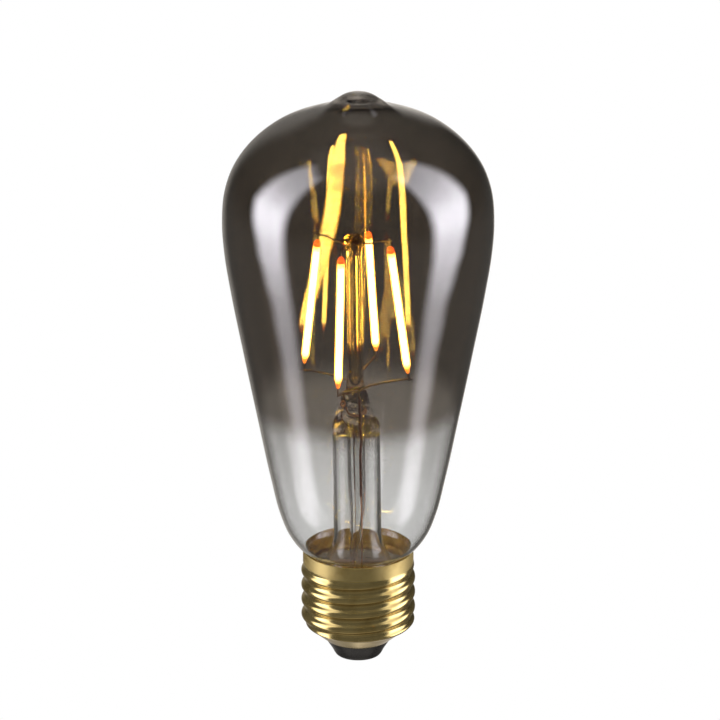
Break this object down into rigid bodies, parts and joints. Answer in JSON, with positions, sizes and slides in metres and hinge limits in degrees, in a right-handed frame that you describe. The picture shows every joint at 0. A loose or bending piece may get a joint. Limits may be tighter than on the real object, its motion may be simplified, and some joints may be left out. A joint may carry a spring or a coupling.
{
  "type": "smart light bulb",
  "caption": "Tapered smoked-glass filament light bulb with a sealed tip, LED filaments on a glass stem, and a brass Edison screw cap.",
  "frame": {"origin": "centre of the centre contact's flat face, at the foot of the screw cap", "axes": "+Z along the bulb's axis from the contact to the glass tip; +X to the right and -Y to the front, where the wide wire bridge is seen from the side"},
  "size_m": [0.0616, 0.0616, 0.137],
  "materials": {
    "smoked_glass": "polished, smoke-tinted half-mirror coating that fades towards the neck",
    "clear_glass": "fire-polished clear glass",
    "rod_glass": "fire-polished clear glass, warmed by the filaments' light",
    "dumet": "dark red oxide skin",
    "copper_wire": "drawn copper wire, slightly dull",
    "nickel_wire": "drawn nickel wire, heat-tinted",
    "phosphor": "silicone filled with yellow phosphor, glowing",
    "carrier": "translucent sintered strip",
    "led_chip": "polished sapphire dice",
    "tab_metal": "plated stamped steel",
    "cap_brass": "drawn brass, satin with rolled thread",
    "cap_glass": "black moulded glass",
    "contact_brass": "stamped brass, polished",
    "cement": "cured basing cement",
    "sleeve_polymer": "moulded heat-proof polymer",
    "disc_fibre": "pressed insulating fibre",
    "circuit_board": "green solder mask on glass fibre",
    "red_insulation": "red wire insulation",
    "black_insulation": "black wire insulation",
    "capacitor_sleeve": "shrunk sleeve with a bare aluminium end",
    "ferrite": "sintered ferrite drum with a copper winding",
    "moulded_epoxy": "black moulded epoxy with tinned legs",
    "resistor_body": "green cement-coated body",
    "ceramic_chip": "sintered ceramic with tinned ends",
    "radio_circuit_board": "blue solder mask on glass fibre",
    "shield_steel": "tinned drawn sheet",
    "crystal_can": "plated lid",
    "printed_copper": "gold-flashed copper track"
  },
  "bodies": {
    "root": {"glass_envelope": "smoked_glass", "stem_flare": "clear_glass", "exhaust_tube": "clear_glass", "support_rod": "rod_glass", "dumet_seal_line": "dumet", "dumet_seal_return": "dumet", "outer_lead_line": "copper_wire", "outer_lead_return": "copper_wire", "inner_lead_line": "nickel_wire", "inner_lead_return": "nickel_wire", "jumper_line": "nickel_wire", "jumper_return": "nickel_wire", "top_bridge_wide": "nickel_wire", "top_bridge_deep": "nickel_wire", "phosphor_coating_1": "phosphor", "phosphor_coating_2": "phosphor", "phosphor_coating_3": "phosphor", "phosphor_coating_4": "phosphor", "carrier_strip_1": "carrier", "carrier_strip_2": "carrier", "carrier_strip_3": "carrier", "carrier_strip_4": "carrier", "led_chips_1": "led_chip", "led_chips_2": "led_chip", "led_chips_3": "led_chip", "led_chips_4": "led_chip", "end_tabs_1": "tab_metal", "end_tabs_2": "tab_metal", "end_tabs_3": "tab_metal", "end_tabs_4": "tab_metal", "screw_shell": "cap_brass", "cap_insulator": "cap_glass", "centre_contact": "contact_brass", "basing_cement": "cement", "insulating_sleeve": "sleeve_polymer", "insulating_disc": "disc_fibre", "driver_board": "circuit_board", "line_wire": "red_insulation", "neutral_wire": "black_insulation", "smoothing_capacitor": "capacitor_sleeve", "power_inductor": "ferrite", "bridge_rectifier": "moulded_epoxy", "fusible_resistor": "resistor_body", "driver_chip": "moulded_epoxy", "chip_components": "ceramic_chip", "radio_board": "radio_circuit_board", "radio_shield": "shield_steel", "radio_crystal": "crystal_can", "antenna_trace": "printed_copper"}
  },
  "joints": []
}
